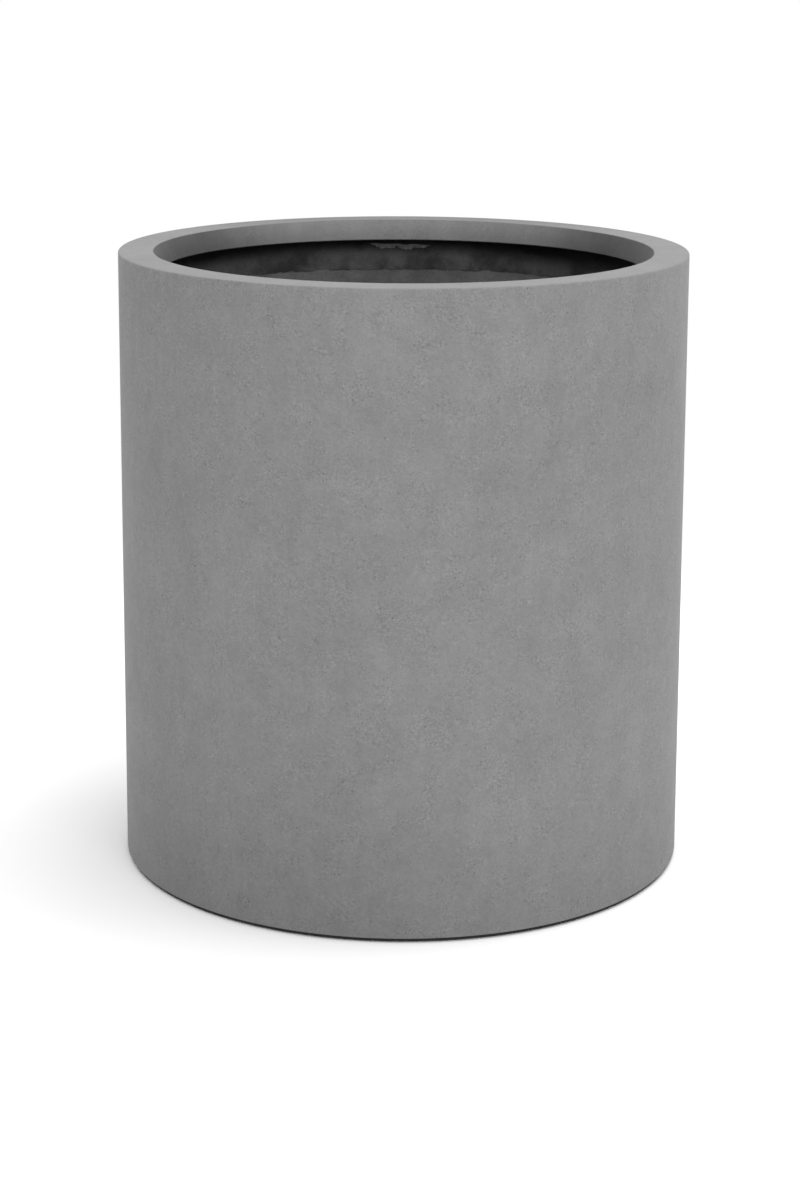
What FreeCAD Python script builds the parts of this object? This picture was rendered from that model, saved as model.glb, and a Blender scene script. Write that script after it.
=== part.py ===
"""A tall round fiberglass floor planter, built up from its moulded and bonded pieces.

The planter is a straight laminated tube. A moulded rim ring closes its top: a flat deck and a
short lip that leans into the mouth and ends in a thin edge. A foot ring is bonded into the
tube's lower end, and a floor panel that falls towards the drain hole lies on it. Glass tape,
laid up from inside, joins the rim and the floor to the wall. A rubber plug closes the drain
hole, and rubber pads under the foot ring hold the wall just off the ground.

Frame: millimetres, +Z up, the origin on the ground under the planter's axis.
"""

import FreeCAD, Part
import os

import Sketcher

# Driving sizes: name, value in millimetres (counts and angles have no unit), meaning.
DRIVING = [
    ("overall_height", 610.0, "ground to the rim's top"),
    ("outer_radius", 280.0, "outside of the wall and the rim"),
    ("wall_thick", 4.0, "laminate of the tube"),
    ("foot_bevel", 1.0, "outside bottom edge of the wall"),
    ("rim_thick", 5.0, "laminate of the rim's deck"),
    ("deck_width", 34.0, "flat top of the rim"),
    ("lip_depth", 21.0, "rim's top to the lip's lower edge"),
    ("lip_lean", 8.0, "how far the lip leans into the mouth"),
    ("lip_thick", 5.0, "lip, measured level"),
    ("rim_outer_round", 1.5, "rim's outer top edge"),
    ("rim_inner_round", 1.0, "rim's inner top edge"),
    ("lip_bevel", 0.8, "both corners of the lip's lower edge"),
    ("rim_root_bevel", 3.0, "corner behind the lip"),
    ("bond_line", 0.3, "adhesive between the tube and what is bonded into it"),
    ("tape_thick", 2.0, "glass tape, wetted out"),
    ("tape_bridge", 5.0, "how far along each side the tape bridges its corner"),
    ("rim_tape_drop", 53.0, "rim tape, down the wall"),
    ("rim_tape_clear", 1.0, "rim tape's edge to the corner behind the lip"),
    ("floor_tape_rise", 50.0, "floor tape, up the wall"),
    ("floor_tape_clear", 8.0, "floor tape's edge to where the floor starts to fall"),
    ("foot_ring_width", 42.0, "foot ring, from its outside in"),
    ("foot_ring_thick", 9.0, "foot ring"),
    ("floor_thick", 5.0, "laminate of the floor panel"),
    ("floor_border_clear", 8.0, "foot ring's inner edge to where the floor starts to fall"),
    ("floor_fall", 2.0, "drop from the floor's border to its sump"),
    ("sump_radius", 42.0, "flat middle of the floor"),
    ("drain_radius", 12.5, "drain hole"),
    ("plug_play", 0.3, "stem's ribs to the drain hole"),
    ("plug_neck", 1.2, "depth of the groove between the stem's ribs"),
    ("plug_rib", 1.6, "height of a rib on the stem"),
    ("plug_tail", 2.4, "stem below the floor panel"),
    ("plug_head_lap", 8.5, "head, from the drain hole's edge outwards"),
    ("plug_head_thick", 4.0, "head at its edge"),
    ("plug_head_round", 3.0, "rounded edge of the head"),
    ("knob_waist", 4.5, "radius of the waist under the knob"),
    ("knob_lip", 2.5, "knob, from the waist outwards"),
    ("knob_neck", 4.0, "waist, from the head up to the knob"),
    ("knob_thick", 5.0, "knob above its waist"),
    ("knob_bevel", 1.6, "edges of the knob"),
    ("pad_radius", 13.0, "rubber foot pad"),
    ("pad_thick", 3.0, "pad, which is also the gap under the wall"),
    ("pad_bevel", 0.8, "pad's lower edge"),
    ("pad_count", 4, "pads round the foot ring"),
    ("pad_first_angle", 45.0, "degrees from +X to the first pad"),
]

SHEET = "sizes"
SPARE = 0.8  # the most of a wall's thickness that a rounded or bevelled edge may use

# How a sketch numbers the points of a line or circle, and its own upright axis and origin.
START, END, CENTRE = range(1, 4)
Z_AXIS, ORIGIN = range(-2, 0)


class Size:
    """A size that knows both its value and the spreadsheet expression that gives it."""

    def __init__(self, value, text):
        self.value = value
        self.text = text

    def __add__(self, other):
        return Size(self.value + other.value, f"({self.text} + {other.text})")

    def __sub__(self, other):
        return Size(self.value - other.value, f"({self.text} - {other.text})")

    def __mul__(self, factor):
        return Size(self.value * factor, f"({self.text} * {factor})")

    def times_share(self, part, whole):
        """This size times part / whole."""
        share = part.value / whole.value
        return Size(self.value * share, f"({self.text} * {part.text} / {whole.text})")

    def at_most(self, *limits):
        """This size, or the smallest of the limits where that is less."""
        least = min(size.value for size in (self,) + limits)
        texts = [size.text for size in (self,) + limits]
        return Size(least, "min(" + "; ".join(texts) + ")")


GROUND = Size(0.0, "0")


def make_sheet(doc):
    """Writes the driving sizes to the spreadsheet and returns them by name."""
    sheet = doc.addObject("Spreadsheet::Sheet", SHEET)
    sizes = {}
    for row, (alias, value, meaning) in enumerate(DRIVING, start=1):
        sheet.set(f"A{row}", meaning)
        sheet.set(f"B{row}", str(value))
        sheet.setAlias(f"B{row}", alias)
        sizes[alias] = Size(value, f"{SHEET}.{alias}")
    doc.recompute()
    return sizes


def origin_plane(body, role):
    """One of the body's own origin planes."""
    return next(f for f in body.Origin.OriginFeatures if f.Role == role)


def new_body(doc, node):
    """An empty body whose label is the piece's name."""
    body = doc.addObject("PartDesign::Body", node)
    body.Label = node
    return body


def new_sketch(body, role):
    """An empty sketch on one of the body's origin planes."""
    sketch = body.newObject("Sketcher::SketchObject", body.Name + "_outline")
    sketch.AttachmentSupport = (origin_plane(body, role), [""])
    sketch.MapMode = "FlatFace"
    return sketch


def drive(sketch, name, size, kind, *places):
    """Adds a named dimension to a sketch and binds it to the spreadsheet."""
    index = sketch.addConstraint(Sketcher.Constraint(kind, *places, size.value))
    sketch.renameConstraint(index, name)
    sketch.setExpression("Constraints." + name, size.text)


def revolve_outline(doc, body, corners):
    """Turns a closed outline about Z. Each corner is (name, radius, height).

    A radius of None puts the corner on the axis. Both coordinates of every corner are
    dimensions of the sketch, bound to the spreadsheet.
    """
    sketch = new_sketch(body, "XZ_Plane")
    points = [
        FreeCAD.Vector(0.0 if radius is None else radius.value, height.value, 0.0)
        for _, radius, height in corners
    ]
    following = points[1:] + points[:1]
    for here, there in zip(points, following):
        sketch.addGeometry(Part.LineSegment(here, there), False)
    for i in range(len(points)):
        after = (i + 1) % len(points)
        sketch.addConstraint(Sketcher.Constraint("Coincident", i, END, after, START))
    for i, (name, radius, height) in enumerate(corners):
        if radius is None:
            sketch.addConstraint(Sketcher.Constraint("PointOnObject", i, START, Z_AXIS))
        else:
            drive(sketch, name + "_radius", radius, "DistanceX", ORIGIN, START, i, START)
        drive(sketch, name + "_height", height, "DistanceY", ORIGIN, START, i, START)
    turned = body.newObject("PartDesign::Revolution", body.Name + "_turned")
    turned.Profile = sketch
    turned.ReferenceAxis = (sketch, ["V_Axis"])
    turned.Angle = 360.0
    body.Tip = turned
    doc.recompute()


def rings_at(shape, places, near=0.02):
    """Names of the shape's circular edges at the given (radius, height) places."""
    found = []
    for number, edge in enumerate(shape.Edges, start=1):
        curve = edge.Curve
        if curve.TypeId != "Part::GeomCircle":
            continue
        for radius, height in places:
            off = max(abs(curve.Radius - radius.value), abs(curve.Center.z - height.value))
            if off < near:
                found.append(f"Edge{number}")
    return found


def dress_rings(doc, body, kind, name, places, size):
    """Adds a fillet or chamfer to the circular edges of the body's last feature at the places."""
    base = body.Tip
    edges = rings_at(base.Shape, places)
    if len(edges) != len(places):
        raise ValueError(f"{body.Label}: {name} found {len(edges)} of {len(places)} edges")
    dressing = body.newObject("PartDesign::" + kind, f"{body.Name}_{name}")
    dressing.Base = (base, edges)
    dressing.setExpression({"Fillet": "Radius", "Chamfer": "Size"}[kind], size.text)
    body.Tip = dressing
    doc.recompute()


def round_rings(doc, body, name, places, radius):
    """Rounds circular edges, each given as (radius, height)."""
    dress_rings(doc, body, "Fillet", name, places, radius)


def bevel_rings(doc, body, name, places, width):
    """Bevels circular edges, each given as (radius, height)."""
    dress_rings(doc, body, "Chamfer", name, places, width)


class Levels:
    """Radii and heights that more than one piece uses."""

    def __init__(self, s):
        self.top = s["overall_height"]
        self.foot = s["pad_thick"]
        # The tube, and the outside of everything bonded into it.
        self.wall_inner = s["outer_radius"] - s["wall_thick"]
        self.bonded = self.wall_inner - s["bond_line"]
        self.tape_inner = self.bonded - s["tape_thick"]
        # The rim: the deck's underside, and the lip's face and back.
        self.deck_low = self.top - s["rim_thick"]
        self.lip_low = self.top - s["lip_depth"]
        self.mouth_top = s["outer_radius"] - s["deck_width"]
        self.mouth_low = self.mouth_top - s["lip_lean"]
        self.back_low = self.mouth_low + s["lip_thick"]
        lip_hang = s["lip_depth"] - s["rim_thick"]
        self.back_top = self.back_low + s["lip_lean"].times_share(lip_hang, s["lip_depth"])
        # The foot ring and the floor on it.
        self.ring_inner = self.bonded - s["foot_ring_width"]
        self.ring_top = self.foot + s["foot_ring_thick"]
        self.floor_top = self.ring_top + s["floor_thick"]
        self.fall_start = self.ring_inner - s["floor_border_clear"]
        self.sump_top = self.floor_top - s["floor_fall"]
        self.sump_low = self.sump_top - s["floor_thick"]


def wall_shell(doc, s, at):
    """The laminated tube, from the gap over the ground to the rim."""
    body = new_body(doc, "wall_shell")
    revolve_outline(doc, body, [
        ("foot_outer", s["outer_radius"], at.foot),
        ("top_outer", s["outer_radius"], at.deck_low),
        ("top_inner", at.wall_inner, at.deck_low),
        ("foot_inner", at.wall_inner, at.foot),
    ])
    foot_bevel = s["foot_bevel"].at_most(s["wall_thick"] * SPARE)
    bevel_rings(doc, body, "foot", [(s["outer_radius"], at.foot)], foot_bevel)
    return body


def rim_ring(doc, s, at):
    """The moulded rim: a flat deck over the wall's top and a lip that leans into the mouth."""
    body = new_body(doc, "rim_ring")
    revolve_outline(doc, body, [
        ("seat_outer", s["outer_radius"], at.deck_low),
        ("deck_outer", s["outer_radius"], at.top),
        ("deck_inner", at.mouth_top, at.top),
        ("lip_face", at.mouth_low, at.lip_low),
        ("lip_back", at.back_low, at.lip_low),
        ("lip_root", at.back_top, at.deck_low),
    ])
    edge_limit = s["rim_thick"] * SPARE
    outer_round = s["rim_outer_round"].at_most(edge_limit)
    inner_round = s["rim_inner_round"].at_most(edge_limit)
    lip_bevel = s["lip_bevel"].at_most(s["lip_thick"] * (SPARE / 2))
    lip_edge = [(at.mouth_low, at.lip_low), (at.back_low, at.lip_low)]
    bevel_rings(doc, body, "root", [(at.back_top, at.deck_low)], s["rim_root_bevel"])
    round_rings(doc, body, "outer", [(s["outer_radius"], at.top)], outer_round)
    round_rings(doc, body, "inner", [(at.mouth_top, at.top)], inner_round)
    bevel_rings(doc, body, "edge", lip_edge, lip_bevel)
    return body


def rim_tape(doc, s, at):
    """Glass tape in the corner of the wall and the rim's deck."""
    low = at.deck_low - s["rim_tape_drop"]
    under = at.deck_low - s["tape_thick"]
    reach = at.back_top + s["rim_root_bevel"] + s["rim_tape_clear"]
    body = new_body(doc, "rim_tape")
    revolve_outline(doc, body, [
        ("corner", at.bonded, at.deck_low),
        ("deck_end", reach, at.deck_low),
        ("deck_end_low", reach, under),
        ("bridge", at.tape_inner, under),
        ("wall_end_inner", at.tape_inner, low),
        ("wall_end", at.bonded, low),
    ])
    bevel_rings(doc, body, "bend", [(at.tape_inner, under)], s["tape_bridge"])
    return body


def foot_ring(doc, s, at):
    """The ring bonded into the tube's lower end, which carries the floor and the pads."""
    body = new_body(doc, "foot_ring")
    revolve_outline(doc, body, [
        ("outer_low", at.bonded, at.foot),
        ("outer_top", at.bonded, at.ring_top),
        ("inner_top", at.ring_inner, at.ring_top),
        ("inner_low", at.ring_inner, at.foot),
    ])
    return body


def floor_panel(doc, s, at):
    """The floor: a flat border on the foot ring, falling to a sump round the drain hole."""
    body = new_body(doc, "floor_panel")
    revolve_outline(doc, body, [
        ("hole_top", s["drain_radius"], at.sump_top),
        ("sump_top", s["sump_radius"], at.sump_top),
        ("border_top", at.fall_start, at.floor_top),
        ("edge_top", at.bonded, at.floor_top),
        ("edge_low", at.bonded, at.ring_top),
        ("border_low", at.fall_start, at.ring_top),
        ("sump_low", s["sump_radius"], at.sump_low),
        ("hole_low", s["drain_radius"], at.sump_low),
    ])
    return body


def floor_tape(doc, s, at):
    """Glass tape in the corner of the wall and the floor panel."""
    high = at.floor_top + s["floor_tape_rise"]
    over = at.floor_top + s["tape_thick"]
    reach = at.fall_start + s["floor_tape_clear"]
    body = new_body(doc, "floor_tape")
    revolve_outline(doc, body, [
        ("corner", at.bonded, at.floor_top),
        ("wall_end", at.bonded, high),
        ("wall_end_inner", at.tape_inner, high),
        ("bridge", at.tape_inner, over),
        ("floor_end_top", reach, over),
        ("floor_end", reach, at.floor_top),
    ])
    bevel_rings(doc, body, "bend", [(at.tape_inner, over)], s["tape_bridge"])
    return body


def drain_plug(doc, s, at):
    """The rubber plug: a ribbed stem in the drain hole, a head on the sump and a finger knob."""
    rib = s["drain_radius"] - s["plug_play"]
    neck = rib - s["plug_neck"]
    rib_height = s["plug_rib"].at_most(s["floor_thick"] * (SPARE / 2))
    lower_rib_top = at.sump_low + rib_height
    upper_rib_low = at.sump_top - rib_height
    head = s["drain_radius"] + s["plug_head_lap"]
    head_top = at.sump_top + s["plug_head_thick"]
    knob = s["knob_waist"] + s["knob_lip"]
    knob_low = head_top + s["knob_neck"]
    knob_top = knob_low + s["knob_thick"]
    body = new_body(doc, "drain_plug")
    revolve_outline(doc, body, [
        ("tail_middle", None, at.sump_low - s["plug_tail"]),
        ("tail", neck, at.sump_low - s["plug_tail"]),
        ("lower_rib_low", rib, at.sump_low),
        ("lower_rib_top", rib, lower_rib_top),
        ("groove_low", neck, lower_rib_top),
        ("groove_top", neck, upper_rib_low),
        ("upper_rib_low", rib, upper_rib_low),
        ("upper_rib_top", rib, at.sump_top),
        ("head_low", head, at.sump_top),
        ("head_top", head, head_top),
        ("waist_low", s["knob_waist"], head_top),
        ("waist_top", s["knob_waist"], knob_low),
        ("knob_low", knob, knob_low),
        ("knob_top", knob, knob_top),
        ("knob_middle", None, knob_top),
    ])
    head_round = s["plug_head_round"].at_most(s["plug_head_thick"] * SPARE)
    knob_limit = s["knob_thick"] * (SPARE / 2)
    knob_bevel = s["knob_bevel"].at_most(knob_limit, s["knob_lip"] * SPARE)
    round_rings(doc, body, "head", [(head, head_top)], head_round)
    bevel_rings(doc, body, "knob", [(knob, knob_low), (knob, knob_top)], knob_bevel)
    return body


def foot_pad(doc, s, at, number):
    """One rubber pad under the middle of the foot ring's width."""
    body = new_body(doc, f"foot_pad_{number}")
    sketch = new_sketch(body, "XY_Plane")
    up = FreeCAD.Vector(0, 0, 1)
    sketch.addGeometry(Part.Circle(FreeCAD.Vector(), up, s["pad_radius"].value), False)
    sketch.addConstraint(Sketcher.Constraint("Coincident", 0, CENTRE, ORIGIN, START))
    drive(sketch, "pad_radius", s["pad_radius"], "Radius", 0)
    disc = body.newObject("PartDesign::Pad", body.Name + "_disc")
    disc.Profile = sketch
    disc.Length = s["pad_thick"].value
    disc.setExpression("Length", s["pad_thick"].text)
    body.Tip = disc
    doc.recompute()
    pad_bevel = s["pad_bevel"].at_most(s["pad_thick"] * SPARE)
    bevel_rings(doc, body, "edge", [(s["pad_radius"], GROUND)], pad_bevel)
    middle = (at.bonded + at.ring_inner) * 0.5
    turn = f"{s['pad_first_angle'].text} + {number - 1} * 360 / {s['pad_count'].text}"
    body.setExpression("Placement.Base.x", f"{middle.text} * cos(({turn}) * 1 deg)")
    body.setExpression("Placement.Base.y", f"{middle.text} * sin(({turn}) * 1 deg)")
    doc.recompute()
    return body


def check_document(doc):
    """Stops if any object of the document failed to compute."""
    for thing in doc.Objects:
        if "Invalid" in thing.State or "Error" in thing.State:
            raise RuntimeError(f"{thing.Label} failed: {thing.State}")


def write_parts(bodies):
    """Checks each piece's solid and writes it under the piece's name."""
    os.makedirs("parts", exist_ok=True)
    for body in bodies:
        shape = body.Shape
        if shape.isNull() or not shape.isValid() or len(shape.Solids) != 1:
            raise RuntimeError(f"{body.Label} is not one valid solid")
        shape.exportStep(os.path.join("parts", body.Label + ".step"))
        print(f"{body.Label}: {shape.Volume / 1000.0:.1f} cm3")


def main():
    doc = FreeCAD.newDocument("planter")
    s = make_sheet(doc)
    at = Levels(s)
    moulded = [wall_shell, rim_ring, rim_tape, foot_ring, floor_panel, floor_tape, drain_plug]
    bodies = [build(doc, s, at) for build in moulded]
    pads = int(s["pad_count"].value)
    bodies += [foot_pad(doc, s, at, number) for number in range(1, pads + 1)]
    doc.recompute()
    check_document(doc)
    write_parts(bodies)


main()
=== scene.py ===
"""The looks of the tall fiberglass planter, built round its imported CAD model.

Metres, +Z up, the origin on the ground under the planter's axis. Every CAD node is a turned
solid, and so is every piece here but the torn mat: an outline of radii and heights, taken
round the axis with the small unevenness of hand-laid laminate and a sprayed mineral coat.
"""

import math

import bpy
from mathutils import Euler, Matrix, Vector, noise


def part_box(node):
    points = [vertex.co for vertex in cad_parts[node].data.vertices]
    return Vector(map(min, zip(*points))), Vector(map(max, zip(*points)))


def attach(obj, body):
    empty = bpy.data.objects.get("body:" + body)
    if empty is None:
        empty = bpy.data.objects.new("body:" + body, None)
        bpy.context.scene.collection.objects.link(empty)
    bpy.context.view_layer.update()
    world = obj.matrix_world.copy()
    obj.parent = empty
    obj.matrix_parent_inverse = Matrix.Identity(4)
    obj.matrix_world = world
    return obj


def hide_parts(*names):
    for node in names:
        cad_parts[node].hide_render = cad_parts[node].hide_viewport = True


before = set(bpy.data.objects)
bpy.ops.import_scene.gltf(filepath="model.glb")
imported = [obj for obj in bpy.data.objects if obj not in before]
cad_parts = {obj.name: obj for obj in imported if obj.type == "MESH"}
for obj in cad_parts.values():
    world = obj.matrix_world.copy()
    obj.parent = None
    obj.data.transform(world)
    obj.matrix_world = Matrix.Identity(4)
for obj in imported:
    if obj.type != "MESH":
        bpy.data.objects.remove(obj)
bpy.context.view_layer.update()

MM = 0.001

# ---------------------------------------------------------------- sizes from the frame
RIM_LOW, RIM_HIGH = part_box("rim_ring")
WALL_LOW, WALL_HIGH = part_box("wall_shell")
TAPE_LOW, TAPE_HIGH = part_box("rim_tape")
RING_LOW, RING_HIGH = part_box("foot_ring")
FLOOR_LOW, FLOOR_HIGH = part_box("floor_panel")
SEAL_LOW, SEAL_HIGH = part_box("floor_tape")
PLUG_LOW, PLUG_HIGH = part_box("drain_plug")

OUTER = RIM_HIGH.x * 0.9999       # outside of the wall, a hair inside the CAD model's box
TOP = RIM_HIGH.z
DECK_LOW = WALL_HIGH.z            # underside of the rim's deck, on the wall's upper edge
LIP_LOW = RIM_LOW.z
BONDED = TAPE_HIGH.x              # outside of everything bonded into the tube

# The CAD model's own sizes that no box gives.
WALL_THICK = 4.0 * MM
DECK_WIDTH = 34.0 * MM
LIP_LEAN = 8.0 * MM
LIP_THICK = 5.0 * MM
TAPE_THICK = 2.0 * MM
TAPE_BRIDGE = 5.0 * MM
RING_WIDTH = 42.0 * MM
FLOOR_THICK = 5.0 * MM
FLOOR_BORDER_CLEAR = 8.0 * MM
SUMP_RADIUS = 42.0 * MM
DRAIN_RADIUS = 12.5 * MM
PLUG_PLAY = 0.3 * MM

WALL_INNER = WALL_HIGH.x - WALL_THICK
TAPE_INNER = BONDED - TAPE_THICK
MOUTH_TOP = RIM_HIGH.x - DECK_WIDTH
MOUTH_LOW = MOUTH_TOP - LIP_LEAN
SUMP_LOW = FLOOR_LOW.z
SUMP_TOP = SUMP_LOW + FLOOR_THICK

STEPS = 512                       # corners in a full turn of the large pieces
ON_AXIS = 1e-9                    # a smaller radius is a point on the axis
HAIR_INSIDE = 0.9998              # keeps a small piece a hair inside its CAD node


# ---------------------------------------------------------------- outlines and unevenness
def arc(centre, radius, start, end, steps=5):
    """Points on an arc in the outline's plane; angles in degrees from outwards towards up."""
    turns = [math.radians(start + (end - start) * i / steps) for i in range(steps + 1)]
    return [(centre[0] + radius * math.cos(a), centre[1] + radius * math.sin(a)) for a in turns]


def rows(start, end, step):
    """Points from start up to but not including end, about a step apart."""
    count = max(1, round(math.dist(start, end) / step))
    return [
        (start[0] + (end[0] - start[0]) * i / count, start[1] + (end[1] - start[1]) * i / count)
        for i in range(count)
    ]


def one_material(*stretches):
    """An outline whose faces all have the piece's first material."""
    return [(stretch, 0) for stretch in stretches]


def node_reach(node):
    """The smallest radius that the CAD node reaches."""
    return min(v.co.xy.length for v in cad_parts[node].data.vertices)


def swell(corner, size, height, seed=0.0):
    """Smooth noise at a corner: features of the given size, up to about the given height."""
    return height * noise.noise(corner / size + Vector((seed, seed * 1.7, -seed)))


def moved(corner, outward, up=0.0):
    """The corner moved outward from the axis, and up."""
    stretch = 1 + outward / math.hypot(corner.x, corner.y)
    return Vector((corner.x * stretch, corner.y * stretch, corner.z + up))


# ---------------------------------------------------------------- meshes
def place_object(name, data):
    """A new object in the scene."""
    thing = bpy.data.objects.new(name, data)
    bpy.context.scene.collection.objects.link(thing)
    return thing


def smooth_piece(name, corners, faces, sharp_angle, materials):
    """A mesh object that is smooth but for edges of more than sharp_angle degrees."""
    mesh = bpy.data.meshes.new(name)
    mesh.from_pydata(corners, [], faces)
    mesh.validate()
    mesh.shade_smooth()
    mesh.set_sharp_from_angle(angle=math.radians(sharp_angle))
    for material in materials:
        mesh.materials.append(material)
    return place_object(name, mesh)


def ring_corners(points, steps):
    """All corners of the points' rings, and the numbers of each ring's corners."""
    corners = []
    rings = []
    for radius, height in points:
        if radius < ON_AXIS:
            rings.append([len(corners)] * steps)
            corners.append(Vector((0.0, 0.0, height)))
            continue
        rings.append(list(range(len(corners), len(corners) + steps)))
        for i in range(steps):
            a = 2 * math.pi * i / steps
            corners.append(Vector((radius * math.cos(a), radius * math.sin(a), height)))
    return corners, rings


def ring_faces(rings, steps):
    """The faces from each ring to the next, and the number of the ring each starts from."""
    faces = []
    starts = []
    for i, here in enumerate(rings):
        there = rings[(i + 1) % len(rings)]
        if here[0] == here[-1] and there[0] == there[-1]:
            continue
        for k in range(steps):
            after = (k + 1) % steps
            quad = [here[k], here[after], there[after], there[k]]
            faces.append(list(dict.fromkeys(quad)))
            starts.append(i)
    return faces, starts


def turn(name, outline, body, node, materials, steps=STEPS, wander=None):
    """Turns a closed outline about Z into a piece that stands for a CAD node.

    The outline is a list of (points, material number): each stretch of points is followed by
    the next one, and the last closes on the first. It runs anticlockwise, so that the faces
    look outwards. A point at radius 0 becomes a single corner on the axis. wander(corner)
    gives each corner its final place.
    """
    points = [point for stretch, _ in outline for point in stretch]
    numbers = [number for stretch, number in outline for _ in stretch]
    corners, rings = ring_corners(points, steps)
    if wander:
        corners = [wander(corner) for corner in corners]
    faces, starts = ring_faces(rings, steps)
    piece = smooth_piece(name, corners, faces, 38, materials)
    piece.data.polygons.foreach_set("material_index", [numbers[i] for i in starts])
    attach(piece, body)
    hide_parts(node)
    return piece


def sheet_faces(columns, levels):
    """The faces of a thin closed sheet: its back, its front and the strip round its edge.

    Corners are numbered along the columns, level by level, first at the back and then in front.
    """
    width = columns + 1
    count = width * (levels + 1)
    faces = []
    for k in range(levels):
        for i in range(columns):
            a = k * width + i
            back = (a, a + 1, a + 1 + width, a + width)
            faces.append(back)
            faces.append(tuple(c + count for c in reversed(back)))
    edge = list(range(width))
    edge += [k * width + columns for k in range(1, levels + 1)]
    edge += [levels * width + i for i in reversed(range(columns))]
    edge += [k * width for k in reversed(range(1, levels))]
    for here, there in zip(edge, edge[1:] + edge[:1]):
        faces.append((there, here, here + count, there + count))
    return faces


# ---------------------------------------------------------------- node trees
class Nodes:
    """A node tree whose nodes are added one by one and joined as they are made."""

    def __init__(self, tree):
        self.tree = tree
        self.tree.nodes.clear()

    def add(self, kind, inputs=(), **settings):
        """A node with its settings and its inputs, each a value or another node's output."""
        node = self.tree.nodes.new(kind)
        for key, value in settings.items():
            setattr(node, key, value)
        for key, value in dict(inputs).items():
            if isinstance(value, bpy.types.NodeSocket):
                self.tree.links.new(value, node.inputs[key])
            else:
                node.inputs[key].default_value = value
        return node

    def math(self, operation, a, b=0.0):
        """One operation on one or two values."""
        return self.add("ShaderNodeMath", {0: a, 1: b}, operation=operation).outputs[0]

    def plus(self, a, b):
        return self.math("ADD", a, b)

    def times(self, a, b):
        return self.math("MULTIPLY", a, b)

    def ramp(self, value, low, high, to_low=0.0, to_high=1.0):
        """value from low..high mapped smoothly to to_low..to_high."""
        inputs = {0: value, 1: low, 2: high, 3: to_low, 4: to_high}
        return self.add("ShaderNodeMapRange", inputs, interpolation_type="SMOOTHSTEP").outputs[0]

    def seen(self):
        """1 for what shows to the camera, directly, in a reflection or through glass, else 0."""
        path = self.add("ShaderNodeLightPath").outputs
        either = self.math("MAXIMUM", path["Is Camera Ray"], path["Is Glossy Ray"])
        return self.math("MAXIMUM", either, path["Is Transmission Ray"])


class Shader(Nodes):
    """A material's nodes."""

    def __init__(self, name):
        self.material = bpy.data.materials.new(name)
        self.material.use_nodes = True
        super().__init__(self.material.node_tree)
        self.place = self.add("ShaderNodeTexCoord").outputs["Object"]

    def along(self, axis):
        """The coordinate along X, Y or Z."""
        return self.add("ShaderNodeSeparateXYZ", {"Vector": self.place}).outputs[axis]

    def noise(self, size, detail, roughness, stretch=(1, 1, 1), turned=(0, 0, 0), at=None):
        """Noise with features of about the given size in metres, longer by stretch."""
        inputs = {"Vector": at or self.place, "Rotation": turned,
                  "Scale": tuple(size * s for s in stretch)}
        mapped = self.add("ShaderNodeMapping", inputs, vector_type="TEXTURE").outputs[0]
        inputs = {"Vector": mapped, "Scale": 1.0, "Detail": detail, "Roughness": roughness}
        return self.add("ShaderNodeTexNoise", inputs).outputs["Fac"]

    def dots(self, size, radius, share, seed=0.0):
        """Round dots, one to a cell of that size; radius is in cells, share is how many show."""
        inputs = {"Vector": self.place, "Location": (seed, seed, seed),
                  "Scale": (1 / size, 1 / size, 1 / size)}
        spot = self.add("ShaderNodeMapping", inputs).outputs[0]
        cells = self.add("ShaderNodeTexVoronoi", {"Vector": spot, "Scale": 1.0}).outputs
        near = self.ramp(cells["Distance"], radius * 1.3, radius * 0.5)
        chance = self.add("ShaderNodeSeparateColor", {"Color": cells["Color"]}).outputs[0]
        return self.times(near, self.math("LESS_THAN", chance, share))

    def varied(self, tone, *parts):
        """tone with each (noise, weight) of parts added round its middle."""
        for value, weight in parts:
            tone = self.plus(self.times(self.math("SUBTRACT", value, 0.5), weight), tone)
        return tone

    def grey(self, value):
        """A neutral colour of that brightness."""
        inputs = {"Red": value, "Green": value, "Blue": value}
        return self.add("ShaderNodeCombineColor", inputs).outputs[0]

    def finish(self, colour, roughness, height, specular, sheen=0.0):
        """The material, with its surface from colour, roughness and a height in metres."""
        bump = self.add("ShaderNodeBump", {"Height": height, "Distance": 1.0, "Strength": 1.0})
        surface = self.add("ShaderNodeBsdfPrincipled", {
            "Base Color": colour,
            "Roughness": roughness,
            "Specular IOR Level": specular,
            "Sheen Weight": sheen,
            "Sheen Roughness": 0.4,
            "Normal": bump.outputs[0],
        })
        self.add("ShaderNodeOutputMaterial", {"Surface": surface.outputs[0]})
        return self.material


# ---------------------------------------------------------------- materials
def painted_low_shade_share(s):
    """1 in a patch of painted shade low on the front, left of the middle, fading to 0 round it.
    """
    towards_painted_shade = (-0.375, -0.927, 0.0)
    inputs = {0: s.place, 1: towards_painted_shade}
    out = s.add("ShaderNodeVectorMath", inputs, operation="DOT_PRODUCT").outputs["Value"]
    return s.times(s.ramp(out, 195 * MM, 270 * MM), s.ramp(s.along("Z"), 320 * MM, 100 * MM))


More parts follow.
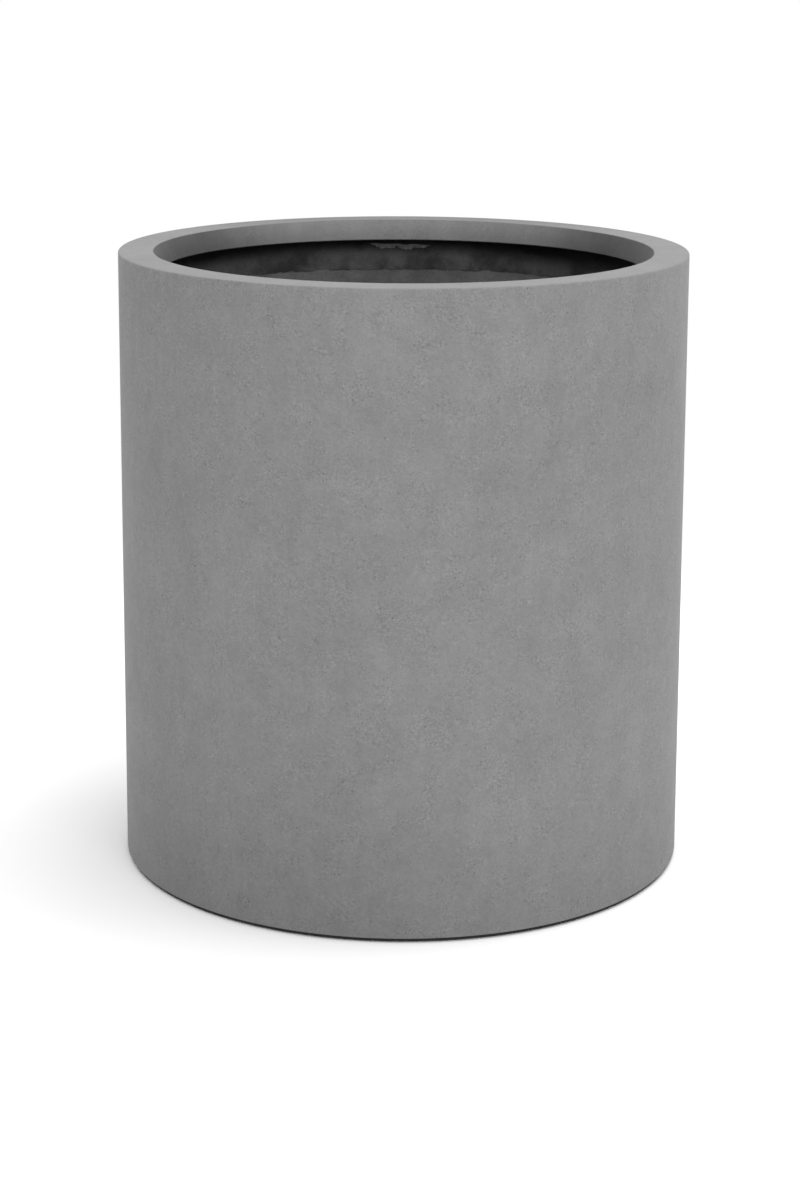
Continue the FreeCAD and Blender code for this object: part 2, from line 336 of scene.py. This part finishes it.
def mineral_coat(name, albedo, sandy=1.0, cloudy=1.0, painted_light_sweep=0.0, painted_lip_edge_shade=0.0, painted_low_shade=0.0):
    """The sprayed outer coat: neutral grey, with sand speckle and soft clouds.

    albedo is its middle tone. sandy and cloudy scale the speckle and the clouds. The rest are
    shares of the tone, all painted light and shade: painted_light_sweep is how far it rises from
    the front towards the rear, painted_lip_edge_shade how far it rises from the lip's lower edge
    to the top, and painted_low_shade how much darker the painted shade low on the front is.
    """
    s = Shader(name)
    clouds = s.noise(130 * MM, detail=3.0, roughness=0.55)
    patches = s.noise(30 * MM, detail=4.0, roughness=0.65)
    streaks = s.noise(12 * MM, detail=3.0, roughness=0.6, stretch=(1, 1, 5))
    grain = s.noise(6 * MM, detail=3.0, roughness=0.75)
    sand = s.noise(2 * MM, detail=2.0, roughness=0.7)
    rough = s.noise(18 * MM, detail=2.0, roughness=0.6)
    rough = s.ramp(rough, 0.42, 0.62, 0.35 * sandy, sandy)
    pits = s.dots(4.2 * MM, radius=0.20, share=0.40)
    lights = s.dots(5.0 * MM, radius=0.17, share=0.35, seed=3.7)

    tone = s.varied(1.0, (clouds, 0.24 * cloudy), (patches, 0.30 * cloudy), (streaks, 0.12),
                    (grain, 0.32 * sandy))
    tone = s.plus(tone, s.times(s.math("SUBTRACT", sand, 0.5), rough))
    tone = s.math("SUBTRACT", tone, s.times(s.times(pits, rough), 0.28))
    tone = s.plus(tone, s.times(s.times(lights, rough), 0.22))
    # painted shade: the coat darker towards its foot
    painted_foot_shade = s.ramp(s.along("Z"), 0.0, 160 * MM, 0.88, 1.0)
    tone = s.times(tone, painted_foot_shade)
    # painted shade: a broad darker patch low on the front, left of the middle
    if painted_low_shade:
        lost = s.times(painted_low_shade_share(s), painted_low_shade)
        tone = s.times(tone, s.math("SUBTRACT", 1.0, lost))
    # painted light and shade: the tone lighter or darker towards the rear
    if painted_light_sweep:
        tone = s.times(tone, s.ramp(s.along("Y"), 120 * MM, 245 * MM, 1.0 - painted_light_sweep, 1.0 + painted_light_sweep))
    # painted shade: darker towards the lip's lower edge, lighter at its top
    if painted_lip_edge_shade:
        rise = s.ramp(s.along("Z"), LIP_LOW, TOP, 1.0 - painted_lip_edge_shade, 1.0 + painted_lip_edge_shade)
        tone = s.times(tone, rise)

    height = s.plus(s.times(sand, 0.18 * MM * sandy), s.times(grain, 0.22 * MM))
    height = s.math("SUBTRACT", height, s.times(pits, 0.20 * MM * sandy))
    colour = s.grey(s.times(tone, albedo))
    return s.finish(colour, 0.78, height, specular=0.35, sheen=0.12)


def strand_layer(s, place):
    """Chopped glass strands: thin streaks that lie in four directions."""
    strands = None
    for angle in (0.35, 1.2, 2.1, 2.8):
        turned = (angle, angle * 0.6, 0)
        strand = s.noise(1.4 * MM, detail=1.0, roughness=0.5, stretch=(1, 1, 16),
                         turned=turned, at=place)
        strand = s.ramp(strand, 0.58, 0.70)
        strands = strand if strands is None else s.math("MAXIMUM", strands, strand)
    return strands


def painted_shade_behind_lip(s, tone, blotches, black_above, clear_below):
    """tone with painted shade under the deck, nearly black, which ends in an uneven line.

    The line runs a little lower to both sides of its middle, and more painted shade darkens
    the tone there.
    """
    middle = -30 * MM
    blotch_reach = 12 * MM
    side_drop = 8 * MM
    aside = s.math("ABSOLUTE", s.math("SUBTRACT", s.along("X"), middle))
    level = s.plus(s.along("Z"), s.times(blotches, blotch_reach))
    level = s.plus(level, s.ramp(aside, 60 * MM, 240 * MM, 0.0, side_drop))
    clear, black = clear_below + blotch_reach / 2, black_above + blotch_reach / 2
    # painted shade: nearly black under the deck, down to an uneven line
    tone = s.times(tone, s.ramp(level, clear, black, 1.0, 0.02))
    # painted shade: darker to both sides of the middle
    return s.times(tone, s.ramp(aside, 60 * MM, 260 * MM, 1.0, 0.60))


def raw_laminate(name, dark, light, painted_shade_line=None, seed=0.0):
    """The unfinished inner side: resin over chopped glass strands, cloudy and dark.

    dark and light are the tones it varies between. painted_shade_line is (black above,
    clear below): the heights between which the nearly black painted shade behind the lip ends.
    """
    s = Shader(name)
    inputs = {"Vector": s.place, "Location": (seed, seed, seed)}
    place = s.add("ShaderNodeMapping", inputs).outputs[0]
    clouds = s.noise(55 * MM, detail=3.0, roughness=0.55, at=place)
    blotches = s.noise(18 * MM, detail=4.0, roughness=0.6, at=place)
    strands = strand_layer(s, place)
    specks = s.dots(16 * MM, radius=0.06, share=0.35, seed=seed + 2.2)

    mix = s.plus(s.times(s.ramp(clouds, 0.32, 0.68), 0.6),
                 s.times(s.ramp(blotches, 0.32, 0.70), 0.4))
    tone = s.ramp(mix, 0.05, 0.95, dark, light)
    tone = s.times(tone, s.ramp(strands, 0.0, 1.0, 0.97, 1.15))
    tone = s.plus(tone, s.times(specks, light))
    if painted_shade_line:
        tone = painted_shade_behind_lip(s, tone, blotches, *painted_shade_line)

    roughness = s.ramp(clouds, 0.35, 0.65, 0.55, 0.8)
    height = s.plus(s.times(strands, 0.2 * MM), s.times(blotches, 1.0 * MM))
    return s.finish(s.grey(tone), roughness, height, specular=0.3)


def black_rubber():
    """Matt black rubber with a fine moulded grain and a little dust."""
    s = Shader("black_rubber")
    dust = s.ramp(s.noise(6 * MM, detail=3.0, roughness=0.65), 0.45, 0.75)
    grain = s.noise(0.6 * MM, detail=2.0, roughness=0.6)
    tone = s.plus(s.times(dust, 0.018), 0.022)
    return s.finish(s.grey(tone), 0.62, s.times(grain, 0.06 * MM), specular=0.4)


# ---------------------------------------------------------------- wall and rim
def wall_piece(coat, laminate, painted_shadow_edge):
    """The tube: coated outside, raw laminate inside, a dark painted-shadow bevel at its foot."""
    coated, raw, painted_shadow_face = range(3)
    foot, bevel = WALL_LOW.z, 1.4 * MM
    outline = [
        # painted shadow: the foot's bevel and underside are near black
        ([(OUTER - bevel, foot)], painted_shadow_face),
        (rows((OUTER, foot + bevel), (OUTER, DECK_LOW), 12 * MM), coated),
        ([(OUTER, DECK_LOW)], raw),
        (rows((WALL_INNER, DECK_LOW), (WALL_INNER, foot), 5 * MM), raw),
        ([(WALL_INNER, foot)], painted_shadow_face),
    ]

    def wander(corner):
        if math.hypot(corner.x, corner.y) > WALL_INNER + WALL_THICK / 2:
            return moved(corner, -abs(swell(corner, 90 * MM, 0.12 * MM)))
        lumps = swell(corner, 30 * MM, 0.5 * MM) + swell(corner, 8 * MM, 0.35 * MM, seed=5)
        lumps *= min(1.0, (DECK_LOW - corner.z) / (10 * MM))
        return moved(corner, max(lumps, -0.25 * MM))

    return turn("wall", outline, "planter", "wall_shell",
                [coat, laminate, painted_shadow_edge], wander=wander)


def rim_outline():
    """The rim's outline, in the order of its materials: coat, deck coat, lip coat, laminate.
    The deck and lip coats are darker copies of the coat, as painted shade.
    """
    coated, deck, lip, raw = range(4)
    outer_round, inner_round, edge_round = 1.5 * MM, 1.0 * MM, 0.8 * MM
    coated_points = 3             # of the outer rounding; the others have the deck's coat
    lean = math.degrees(math.atan2(LIP_LEAN, TOP - LIP_LOW))
    back_low = MOUTH_LOW + LIP_THICK
    back_top = back_low + LIP_LEAN * (DECK_LOW - LIP_LOW) / (TOP - LIP_LOW)
    edge = arc((OUTER - outer_round, TOP - outer_round), outer_round, 0, 90, 7)
    reach = inner_round * math.tan(math.radians(90 - lean) / 2)
    nose = arc((MOUTH_TOP + reach, TOP - inner_round), inner_round, 90, 180 - lean, 7)
    face_low = (MOUTH_LOW + 0.3 * edge_round, LIP_LOW + edge_round)
    return [
        ([(OUTER, DECK_LOW)], coated),
        (edge[:coated_points], coated),
        (edge[coated_points:], deck),
        (rows((OUTER - outer_round - 2 * MM, TOP), (nose[0][0], TOP), 6 * MM), deck),
        (nose[:-1], deck),
        (rows(nose[-1], face_low, 3 * MM), lip),
        ([face_low, (MOUTH_LOW + edge_round, LIP_LOW)], lip),
        ([(back_low - edge_round, LIP_LOW), (back_low, LIP_LOW + edge_round)], raw),
        ([(back_top, DECK_LOW)], raw),
    ]


def rim_piece(coat, deck_coat_painted_shade, lip_coat_painted_shade, laminate):
    """The rim: flat deck, rounded edges and the lip that leans into the mouth."""
    def wander(corner):
        near_top = max(0.0, 1 - (TOP - corner.z) / (4 * MM))
        inward = abs(swell(corner, 50 * MM, 0.12 * MM))
        inward += near_top * abs(swell(corner, 12 * MM, 0.25 * MM, seed=2))
        sunk = abs(swell(corner, 20 * MM, 0.10 * MM, seed=4)) if corner.z > TOP - 5 * MM else 0.0
        return moved(corner, -inward, -sunk)

    return turn("rim", rim_outline(), "planter", "rim_ring",
                [coat, deck_coat_painted_shade, lip_coat_painted_shade, laminate], wander=wander)


# ---------------------------------------------------------------- tapes and torn mat
def tape_piece(name, node, outline, free_edge, inwards, laminate):
    """A laid-up glass tape with an uneven face, and a free edge that wanders.

    free_edge is the edge's height, and inwards is 1 where the tape lies above it and -1 below.
    """
    def wander(corner):
        on_face = math.hypot(corner.x, corner.y) < BONDED - TAPE_THICK / 2
        lump = 0.4 * MM if on_face else 0.0
        outward = -lump * (0.5 + noise.noise(corner / (14 * MM)))
        near = max(0.0, 1 - abs(corner.z - free_edge) / (12 * MM))
        ragged = swell(corner, 30 * MM, 3.5 * MM, seed=1)
        ragged += swell(corner, 7 * MM, 1.6 * MM, seed=2)
        return moved(corner, outward, inwards * near * abs(ragged))

    return turn(name, outline, "planter", node, [laminate], wander=wander)


def rim_tape_piece(laminate):
    """Glass tape in the corner of wall and deck; its lower edge shows in the mouth."""
    low = TAPE_LOW.z
    reach = node_reach("rim_tape")
    under = DECK_LOW - TAPE_THICK
    bridge = (TAPE_INNER, under - TAPE_BRIDGE)
    outline = one_material(
        rows((BONDED, low), (BONDED, DECK_LOW), 6 * MM),
        [(BONDED, DECK_LOW), (reach, DECK_LOW), (reach, under)],
        rows((TAPE_INNER - TAPE_BRIDGE, under), bridge, 2 * MM),
        rows(bridge, (TAPE_INNER + 0.4 * MM, low + 2 * MM), 2 * MM),
        [(TAPE_INNER + 0.6 * MM, low)],
    )
    return tape_piece("rim_joint_tape", "rim_tape", outline, low, 1, laminate)


def floor_tape_piece(laminate):
    """Glass tape in the corner of wall and floor."""
    low, high = SEAL_LOW.z, SEAL_HIGH.z
    reach = node_reach("floor_tape")
    over = low + TAPE_THICK
    outline = one_material(
        [(reach, low)],
        rows((BONDED, low), (BONDED, high), 6 * MM),
        [(BONDED, high), (TAPE_INNER + 0.6 * MM, high)],
        rows((TAPE_INNER + 0.4 * MM, high - 2 * MM), (TAPE_INNER, over + TAPE_BRIDGE), 2 * MM),
        rows((TAPE_INNER, over + TAPE_BRIDGE), (TAPE_INNER - TAPE_BRIDGE, over), 2 * MM),
        rows((TAPE_INNER - TAPE_BRIDGE, over), (reach + 1 * MM, over), 3 * MM),
        [(reach + 0.4 * MM, over - 1.2 * MM)],
    )
    return tape_piece("floor_joint_tape", "floor_tape", outline, high, -1, laminate)


def torn_mat_piece(laminate):
    """A torn strip of glass mat that hangs from the corner behind the lip, at the rear."""
    middle, half_turn = math.radians(91.0), math.radians(7.0)
    top = LIP_LOW - 9.0 * MM
    hang, least_hang, ragged = 4.6 * MM, 0.4 * MM, 2.6 * MM
    wave, slope = 1.6 * MM, 1.2 * MM
    surface = TAPE_INNER - 0.9 * MM
    thick, curl = 0.6 * MM, 1.6 * MM
    columns, levels = 160, 8

    def corner(i, k, depth):
        across = 2 * i / columns - 1
        a = middle - across * half_turn
        along = Vector((a * surface, 0.0, 0.0))
        tear = swell(along, 10 * MM, ragged, seed=7)
        tear += swell(along, 2.2 * MM, ragged * 0.6, seed=8)
        drop = max(least_hang, (hang + tear) * (1 - across ** 4))
        start = top + swell(along, 12 * MM, wave, seed=9) - slope * across
        share = k / levels
        radius = surface - curl * share ** 2 - depth
        return Vector((radius * math.cos(a), radius * math.sin(a), start - drop * share))

    corners = [corner(i, k, depth) for depth in (0.0, thick) for k in range(levels + 1)
               for i in range(columns + 1)]
    piece = smooth_piece("torn_mat", corners, sheet_faces(columns, levels), 50, [laminate])
    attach(piece, "planter")
    return piece


# ---------------------------------------------------------------- foot, floor, plug and pads
def foot_ring_piece(laminate):
    """The ring that carries the floor and the pads."""
    inner = BONDED - RING_WIDTH
    low, high = RING_LOW.z, RING_HIGH.z
    outline = one_material(
        rows((inner, low), (BONDED, low), 6 * MM),
        [(BONDED, low), (BONDED, high), (inner, high)],
    )
    return turn("foot_ring_board", outline, "planter", "foot_ring", [laminate])


def painted_shadow_bead_piece(painted_shadow_edge):
    """A near-black bead under the wall's edge, a painted shadow; a gap stays open below it."""
    low, high = 1.1 * MM, WALL_LOW.z - 0.05 * MM
    inner, outer = BONDED - 3 * MM, OUTER - 1.5 * MM
    bevel = 0.5 * MM
    outline = one_material(
        [(inner, low), (outer - bevel, low), (outer, low + bevel)],
        [(outer, high), (inner, high)],
    )
    return turn("painted_shadow_bead", outline, "planter", "foot_ring", [painted_shadow_edge])


def floor_piece(laminate):
    """The floor: flat border, gentle fall, flat sump and the drain hole."""
    low, top = RING_HIGH.z, FLOOR_HIGH.z
    fall_start = BONDED - RING_WIDTH - FLOOR_BORDER_CLEAR
    hole, bevel = DRAIN_RADIUS, 0.6 * MM
    outline = one_material(
        rows((hole, SUMP_LOW), (SUMP_RADIUS, SUMP_LOW), 6 * MM),
        rows((SUMP_RADIUS, SUMP_LOW), (fall_start, low), 8 * MM),
        [(fall_start, low), (BONDED, low), (BONDED, top)],
        rows((BONDED - 2 * MM, top), (fall_start, top), 6 * MM),
        rows((fall_start, top), (SUMP_RADIUS, SUMP_TOP), 5 * MM),
        rows((SUMP_RADIUS, SUMP_TOP), (hole + bevel, SUMP_TOP), 4 * MM),
        [(hole + bevel, SUMP_TOP), (hole, SUMP_TOP - bevel)],
    )

    def wander(corner):
        on_fall = SUMP_RADIUS <= math.hypot(corner.x, corner.y) <= fall_start
        if not on_fall or corner.z < SUMP_TOP - 0.1 * MM:
            return corner
        sink = swell(corner, 40 * MM, 0.5 * MM) + swell(corner, 11 * MM, 0.3 * MM, seed=3)
        return Vector((corner.x, corner.y, corner.z - abs(sink)))

    return turn("floor", outline, "planter", "floor_panel", [laminate],
                steps=256, wander=wander)


def plug_piece(rubber):
    """The drain plug: ribbed stem, domed head, finger knob."""
    low, top = PLUG_LOW.z, PLUG_HIGH.z
    rib, rib_height = DRAIN_RADIUS - PLUG_PLAY, 1.6 * MM
    neck = rib - 1.2 * MM
    soft = 0.35 * MM              # the small bevel on the stem's and the head's edges
    head, head_round = PLUG_HIGH.x * HAIR_INSIDE, 3.0 * MM
    head_top = SUMP_TOP + 4.0 * MM
    waist, root_round, under_round = 4.5 * MM, 1.6 * MM, 0.8 * MM
    knob, knob_low = 7.0 * MM, top - 5.0 * MM
    knob_low_round, knob_top_round = 1.9 * MM, 2.4 * MM
    low_rib_top = SUMP_LOW + rib_height
    high_rib_low = SUMP_TOP - rib_height
    outline = one_material(
        [(0.0, low), (neck - soft, low), (neck, low + soft)],
        [(rib, SUMP_LOW), (rib, low_rib_top - soft), (rib - soft, low_rib_top)],
        [(neck, low_rib_top), (neck, high_rib_low)],
        [(rib - soft, high_rib_low), (rib, high_rib_low + soft), (rib, SUMP_TOP)],
        [(head - soft, SUMP_TOP), (head, SUMP_TOP + soft)],
        arc((head - head_round, head_top - head_round), head_round, 0, 78, 8),
        [(waist + root_round + 0.4 * MM, head_top)],
        arc((waist + root_round, head_top + root_round), root_round, 270, 180, 5),
        arc((waist + under_round, knob_low - under_round / 2), under_round, 180, 100, 4),
        arc((knob - knob_low_round, knob_low + knob_low_round), knob_low_round, -80, 0, 5),
        arc((knob - knob_top_round, top - knob_top_round), knob_top_round, 0, 84, 6),
        [(0.0, top)],
    )
    return turn("plug", outline, "drain_plug", "drain_plug", [rubber], steps=96)


def pad_piece(number, rubber):
    """One rubber pad with a bevelled lower edge, under the foot ring."""
    node = f"foot_pad_{number}"
    low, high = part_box(node)
    centre = (low + high) / 2
    radius = (high.x - low.x) / 2 * HAIR_INSIDE
    low_bevel, top_bevel = 0.8 * MM, 0.2 * MM
    shoulder = (radius, high.z - top_bevel)
    outline = one_material(
        [(0.0, 0.0), (radius - low_bevel, 0.0)],
        rows((radius, low_bevel), shoulder, 0.7 * MM),
        [shoulder, (radius - top_bevel, high.z), (0.0, high.z)],
    )

    def wander(corner):
        return Vector((corner.x + centre.x, corner.y + centre.y, corner.z))

    return turn(f"pad_{number}", outline, "planter", node, [rubber], steps=64,
                wander=wander)


def dress_planter():
    """Builds every piece with its material."""
    # the wall's coat, with painted shade low on the front left
    coat = mineral_coat("mineral_coat", 0.285, painted_low_shade=0.08)
    # painted shade: the same coat darker on the deck, where more light falls, and darker towards
    # the rear
    deck_coat_painted_shade = mineral_coat("deck_coat_painted_shade", 0.235, sandy=0.6, cloudy=0.8, painted_light_sweep=-0.15)
    # painted light and shade: the same coat much darker on the lip, lighter towards its rear and
    # top
    lip_coat_painted_shade = mineral_coat("lip_coat_painted_shade", 0.166, sandy=0.6, cloudy=1.6, painted_light_sweep=0.40, painted_lip_edge_shade=0.16)
    wall_laminate = raw_laminate("wall_laminate", dark=0.17, light=0.26)
    # painted shade behind the lip, nearly black between these heights
    tape_laminate = raw_laminate("tape_laminate", dark=0.055, light=0.18,
                                 painted_shade_line=(585 * MM, 566 * MM), seed=0.4)
    floor_laminate = raw_laminate("floor_laminate", dark=0.05, light=0.14, seed=0.9)
    # painted shadow: near-black laminate for the bevel and bead at the wall's foot
    painted_shadow_edge = raw_laminate("painted_shadow_edge", dark=0.012, light=0.025, seed=2.1)
    rubber = black_rubber()
    wall_piece(coat, wall_laminate, painted_shadow_edge)
    rim_piece(coat, deck_coat_painted_shade, lip_coat_painted_shade, tape_laminate)
    rim_tape_piece(tape_laminate)
    torn_mat_piece(raw_laminate("torn_mat", dark=0.20, light=0.38, seed=1.3))
    floor_tape_piece(tape_laminate)
    foot_ring_piece(floor_laminate)
    painted_shadow_bead_piece(painted_shadow_edge)
    floor_piece(floor_laminate)
    plug_piece(rubber)
    for number in range(1, 5):
        pad_piece(number, rubber)


# ---------------------------------------------------------------- stage, lights, camera
def stage_floor():
    """A wide white floor that keeps the planter's shadow and is plain white further out."""
    half = 12.0
    shadow_reach, white_from = 0.9, 1.5
    bounce, brighter = 0.68, 0.64     # the tone as light, and what is added where it shows
    mesh = bpy.data.meshes.new("studio_floor")
    corners = [(-half, -half, 0), (half, -half, 0), (half, half, 0), (-half, half, 0)]
    mesh.from_pydata(corners, [], [(0, 1, 2, 3)])
    floor = place_object("studio_floor", mesh)
    s = Shader("studio_white")
    matt = s.add("ShaderNodeBsdfDiffuse", {"Color": (bounce, bounce, bounce, 1)}).outputs[0]
    more = s.add("ShaderNodeBsdfDiffuse", {"Color": (brighter, brighter, brighter, 1)}).outputs[0]
    bright = s.add("ShaderNodeAddShader", {0: matt, 1: more}).outputs[0]
    white = s.add("ShaderNodeEmission", {"Color": (1, 1, 1, 1), "Strength": 1.0}).outputs[0]
    distance = s.add("ShaderNodeVectorMath", {0: s.place}, operation="LENGTH").outputs["Value"]
    far = s.ramp(distance, shadow_reach, white_from)
    shown = s.add("ShaderNodeMixShader", {0: far, 1: bright, 2: white}).outputs[0]
    mix = s.add("ShaderNodeMixShader", {0: s.seen(), 1: matt, 2: shown}).outputs[0]
    s.add("ShaderNodeOutputMaterial", {"Surface": mix})
    mesh.materials.append(s.material)


def studio_world(strength):
    """White surroundings: full white where they show, and of the given strength as light."""
    world = bpy.data.worlds.new("studio")
    bpy.context.scene.world = world
    world.use_nodes = True
    nodes = Nodes(world.node_tree)
    inputs = {"Value": nodes.seen(), "To Min": strength, "To Max": 1.0}
    level = nodes.add("ShaderNodeMapRange", inputs).outputs[0]
    back = nodes.add("ShaderNodeBackground", {"Color": (1, 1, 1, 1), "Strength": level})
    nodes.add("ShaderNodeOutputWorld", {"Surface": back.outputs[0]})


def soft_lamp(name, azimuth, elevation, watts, distance=3.2, size=1.8):
    """A square soft box that looks at the planter's middle.

    azimuth is in degrees round the planter, from its right side towards its rear.
    """
    target = Vector((0.0, 0.0, 0.3))
    direction = Euler((0.0, -math.radians(elevation), math.radians(azimuth)))
    away = direction.to_matrix() @ Vector((distance, 0.0, 0.0))
    lamp = bpy.data.lights.new(name, "AREA")
    lamp.shape = "SQUARE"
    lamp.size = size
    lamp.energy = watts
    holder = place_object(name, lamp)
    holder.location = target + away
    holder.rotation_euler = (-away).to_track_quat("-Z", "Y").to_euler()


def photo_camera():
    """The photograph's viewing angle, from a fit of the rim's and base's ellipses."""
    distance, height = 2.52, 0.9299
    pitch, roll, yaw = 11.05, 0.25, 0.067
    pixels_per_unit = 2573.0      # the lens's length in pixels of the photograph
    long_side = 1200.0
    axis_row = 420.0              # the row that the lens points at before it is shifted
    data = bpy.data.cameras.new("camera")
    data.sensor_fit = "AUTO"
    data.sensor_width = 36.0
    data.lens = pixels_per_unit / long_side * data.sensor_width
    data.shift_y = (axis_row - long_side / 2) / long_side
    data.clip_end = 100.0
    camera = place_object("camera", data)
    aim = Euler((math.radians(90.0 - pitch), 0.0, math.radians(yaw))).to_matrix()
    tilt = Matrix.Rotation(math.radians(roll), 3, "Z")
    camera.rotation_euler = (aim @ tilt).to_euler()
    camera.location = (0.0, -distance, height)
    bpy.context.scene.camera = camera


def light_and_view():
    """Floor, surroundings, a key lamp from above and a weak fill from the front, camera."""
    bpy.context.scene.view_settings.view_transform = "Standard"
    stage_floor()
    studio_world(0.74)
    soft_lamp("key", azimuth=12.0, elevation=75.0, watts=34.0)
    soft_lamp("fill", azimuth=-74.0, elevation=18.0, watts=18.0)
    photo_camera()


dress_planter()
light_and_view()
